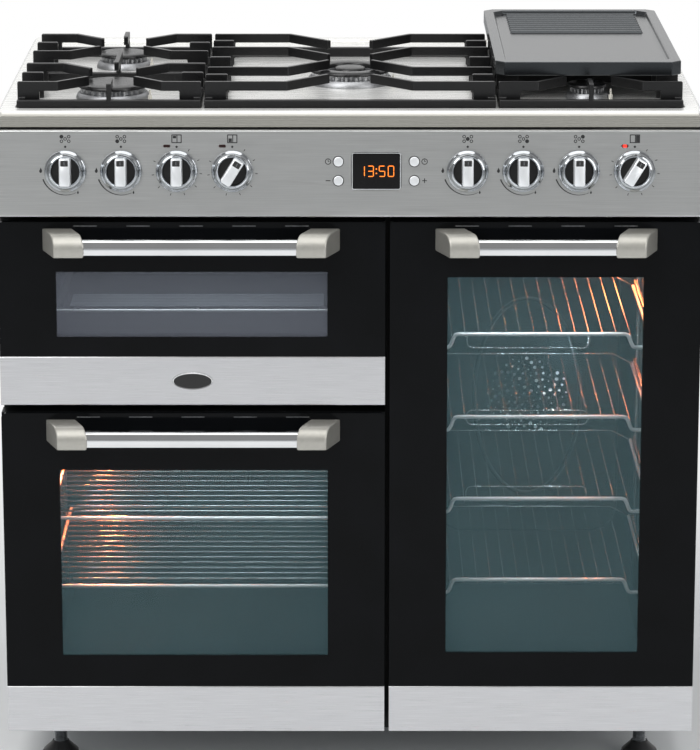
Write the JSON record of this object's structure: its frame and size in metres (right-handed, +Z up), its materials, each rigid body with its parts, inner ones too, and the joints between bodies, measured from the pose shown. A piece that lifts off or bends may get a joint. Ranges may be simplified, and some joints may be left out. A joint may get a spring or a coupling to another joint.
{
  "type": "range cooker",
  "caption": "Free-standing range cooker with a gas hob and griddle over a drop-down grill, a drop-down oven and a tall side-hung oven.",
  "frame": {"origin": "on the floor under the middle of the bounding box, handles included", "axes": "+X to the right as one faces the doors, +Y to the back, +Z up"},
  "size_m": [0.9, 0.648, 0.948],
  "materials": {
    "side_enamel": "satin black enamel",
    "zinc_sheet": "zinc-coated sheet",
    "frame_enamel": "gloss black enamel",
    "hob_steel": "brushed stainless steel",
    "fascia_steel": "brushed stainless steel",
    "oven_enamel": "speckled dark enamel",
    "seal_rubber": "matte",
    "element_steel": "heat-darkened steel",
    "motor_metal": "die-cast",
    "lamp_glass": "clear glass over a warm lamp",
    "wire_chrome": "chromed wire",
    "burner_metal": "matte cast",
    "cap_enamel": "matte black enamel",
    "spark_ceramic": "glazed ceramic",
    "gas_metal": "plain brass",
    "control_plastic": "matte",
    "clock_plastic": "gloss black window",
    "lamp_plastic": "clear red",
    "foot_plastic": "matte",
    "door_enamel": "satin black enamel",
    "dark_glass": "dark tinted glass",
    "clear_glass": "clear heat-resisting glass",
    "trim_steel": "brushed stainless steel",
    "handle_nickel": "satin nickel ends and a polished bar",
    "knob_chrome": "satin chrome",
    "button_chrome": "satin chrome",
    "grate_iron": "matte black enamel",
    "griddle_metal": "grey non-stick coating"
  },
  "bodies": {
    "cooker": {"side_panels": "side_enamel", "rear_panel": "zinc_sheet", "base_pan": "zinc_sheet", "front_frame": "frame_enamel", "hob_tray": "hob_steel", "control_fascia": "fascia_steel", "grill_cavity": "oven_enamel", "main_oven_cavity": "oven_enamel", "tall_oven_cavity": "oven_enamel", "door_seals": "seal_rubber", "heating_elements": "element_steel", "fan_cover": "oven_enamel", "fan_motor": "motor_metal", "oven_lamps": "lamp_glass", "shelf_side_racks": "wire_chrome", "main_oven_shelves": "wire_chrome", "tall_oven_shelves": "wire_chrome", "tall_shelf_rails": "wire_chrome", "grill_pan": "oven_enamel", "burner_heads": "burner_metal", "burner_caps": "cap_enamel", "spark_electrodes": "spark_ceramic", "gas_manifold": "gas_metal", "thermostats": "control_plastic", "clock_module": "clock_plastic", "indicator_lamps": "lamp_plastic", "terminal_box": "control_plastic", "feet": "foot_plastic"},
    "grill_door": {"grill_door_frame": "door_enamel", "grill_door_glass": "dark_glass", "grill_door_inner_glass": "clear_glass", "grill_door_trim": "trim_steel", "grill_door_handle": "handle_nickel"},
    "main_door": {"main_door_frame": "door_enamel", "main_door_glass": "dark_glass", "main_door_inner_glass": "clear_glass", "main_door_trim": "trim_steel", "main_door_handle": "handle_nickel"},
    "tall_door": {"tall_door_frame": "door_enamel", "tall_door_glass": "dark_glass", "tall_door_inner_glass": "clear_glass", "tall_door_trim": "trim_steel", "tall_door_handle": "handle_nickel"},
    "rear_left_knob_body": {"rear_left_knob": "knob_chrome"},
    "front_left_knob_body": {"front_left_knob": "knob_chrome"},
    "grill_knob_body": {"grill_knob": "knob_chrome"},
    "main_oven_knob_body": {"main_oven_knob": "knob_chrome"},
    "centre_knob_body": {"centre_knob": "knob_chrome"},
    "front_right_knob_body": {"front_right_knob": "knob_chrome"},
    "rear_right_knob_body": {"rear_right_knob": "knob_chrome"},
    "tall_oven_knob_body": {"tall_oven_knob": "knob_chrome"},
    "lower_left_button_body": {"lower_left_button": "button_chrome"},
    "upper_left_button_body": {"upper_left_button": "button_chrome"},
    "lower_right_button_body": {"lower_right_button": "button_chrome"},
    "upper_right_button_body": {"upper_right_button": "button_chrome"},
    "left_pan_support_body": {"left_pan_support": "grate_iron"},
    "centre_pan_support_body": {"centre_pan_support": "grate_iron"},
    "right_pan_support_body": {"right_pan_support": "grate_iron"},
    "griddle_body": {"griddle": "griddle_metal"},
    "fan": {"fan_wheel": "motor_metal"}
  },
  "joints": [
    {"name": "grill_door_hinge", "type": "hinge", "parent": "cooker", "child": "grill_door", "pos_m": [-0.2025, -0.264, 0.5265], "axis": [1, 0, 0], "range_deg": [0, 90]},
    {"name": "main_door_hinge", "type": "hinge", "parent": "cooker", "child": "main_door", "pos_m": [-0.2025, -0.264, 0.082], "axis": [1, 0, 0], "range_deg": [0, 90]},
    {"name": "tall_door_hinge", "type": "hinge", "parent": "cooker", "child": "tall_door", "pos_m": [0.44, -0.264, 0.415], "axis": [0, 0, 1], "range_deg": [0, 100]},
    {"name": "rear_left_knob_turn", "type": "hinge", "parent": "cooker", "child": "rear_left_knob_body", "pos_m": [-0.361, -0.27871, 0.82476], "axis": [0, -0.996, 0.0897], "range_deg": [0, 205]},
    {"name": "front_left_knob_turn", "type": "hinge", "parent": "cooker", "child": "front_left_knob_body", "pos_m": [-0.2904, -0.27871, 0.82476], "axis": [0, -0.996, 0.0897], "range_deg": [0, 205]},
    {"name": "grill_knob_turn", "type": "hinge", "parent": "cooker", "child": "grill_knob_body", "pos_m": [-0.2198, -0.27871, 0.82476], "axis": [0, -0.996, 0.0897], "range_deg": [-210, 0]},
    {"name": "main_oven_knob_turn", "type": "hinge", "parent": "cooker", "child": "main_oven_knob_body", "pos_m": [-0.1492, -0.27871, 0.82476], "axis": [0, -0.996, 0.0897], "range_deg": [-238, 32]},
    {"name": "centre_knob_turn", "type": "hinge", "parent": "cooker", "child": "centre_knob_body", "pos_m": [0.1492, -0.27871, 0.82476], "axis": [0, -0.996, 0.0897], "range_deg": [0, 205]},
    {"name": "front_right_knob_turn", "type": "hinge", "parent": "cooker", "child": "front_right_knob_body", "pos_m": [0.2198, -0.27871, 0.82476], "axis": [0, -0.996, 0.0897], "range_deg": [0, 205]},
    {"name": "rear_right_knob_turn", "type": "hinge", "parent": "cooker", "child": "rear_right_knob_body", "pos_m": [0.2904, -0.27871, 0.82476], "axis": [0, -0.996, 0.0897], "range_deg": [0, 205]},
    {"name": "tall_oven_knob_turn", "type": "hinge", "parent": "cooker", "child": "tall_oven_knob_body", "pos_m": [0.361, -0.27871, 0.82476], "axis": [0, -0.996, 0.0897], "range_deg": [-238, 32]},
    {"name": "lower_left_button_press", "type": "slide", "parent": "cooker", "child": "lower_left_button_body", "axis": [0, 0.996, -0.0897], "range_m": [0, 0.0015], "stiffness_N_per_m": 400, "springref_m": -0.0005},
    {"name": "upper_left_button_press", "type": "slide", "parent": "cooker", "child": "upper_left_button_body", "axis": [0, 0.996, -0.0897], "range_m": [0, 0.0015], "stiffness_N_per_m": 400, "springref_m": -0.0005},
    {"name": "lower_right_button_press", "type": "slide", "parent": "cooker", "child": "lower_right_button_body", "axis": [0, 0.996, -0.0897], "range_m": [0, 0.0015], "stiffness_N_per_m": 400, "springref_m": -0.0005},
    {"name": "upper_right_button_press", "type": "slide", "parent": "cooker", "child": "upper_right_button_body", "axis": [0, 0.996, -0.0897], "range_m": [0, 0.0015], "stiffness_N_per_m": 400, "springref_m": -0.0005},
    {"name": "fan_spin", "type": "hinge", "parent": "cooker", "child": "fan", "pos_m": [0.2505, 0.193, 0.41], "axis": [0, 1, 0], "continuous": true},
    {"name": "left_pan_support_lift", "type": "slide", "parent": "cooker", "child": "left_pan_support_body", "axis": [0, 0, 1], "range_m": [0, 0.06]},
    {"name": "centre_pan_support_lift", "type": "slide", "parent": "cooker", "child": "centre_pan_support_body", "axis": [0, 0, 1], "range_m": [0, 0.06]},
    {"name": "right_pan_support_lift", "type": "slide", "parent": "cooker", "child": "right_pan_support_body", "axis": [0, 0, 1], "range_m": [0, 0.06]},
    {"name": "griddle_lift", "type": "slide", "parent": "right_pan_support_body", "child": "griddle_body", "axis": [0, 0, 1], "range_m": [0, 0.05]}
  ]
}
